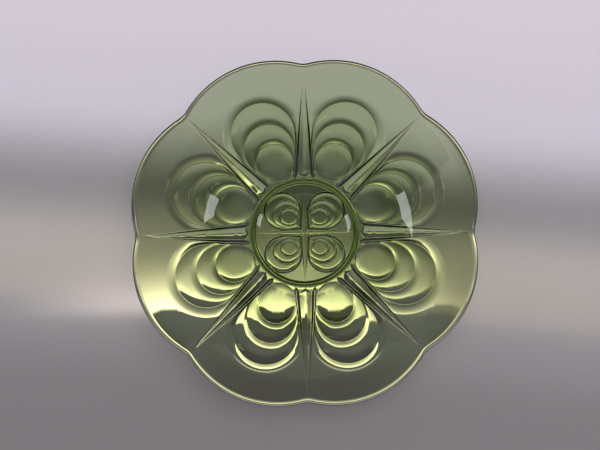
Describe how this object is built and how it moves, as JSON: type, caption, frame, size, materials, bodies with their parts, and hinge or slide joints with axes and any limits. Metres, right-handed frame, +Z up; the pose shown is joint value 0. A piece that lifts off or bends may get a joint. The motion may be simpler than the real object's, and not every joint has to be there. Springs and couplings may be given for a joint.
{
  "type": "serving plate",
  "caption": "Shallow green pressed-glass serving plate: lobed scalloped rim, smooth dish above, nested thumbprints, grooved spokes and a small medallion moulded underneath, on a foot ring.",
  "frame": {"origin": "centre of the foot ring, on the table", "axes": "+Z up out of the dish, +Y along a spoke, so the lobes lie half way between the spokes"},
  "size_m": [0.2954, 0.2954, 0.0421],
  "materials": {
    "green_glass": "clear olive-green soda glass, pressed and fire-polished, glossy all over"
  },
  "bodies": {
    "root": {"plate": "green_glass"}
  },
  "joints": []
}
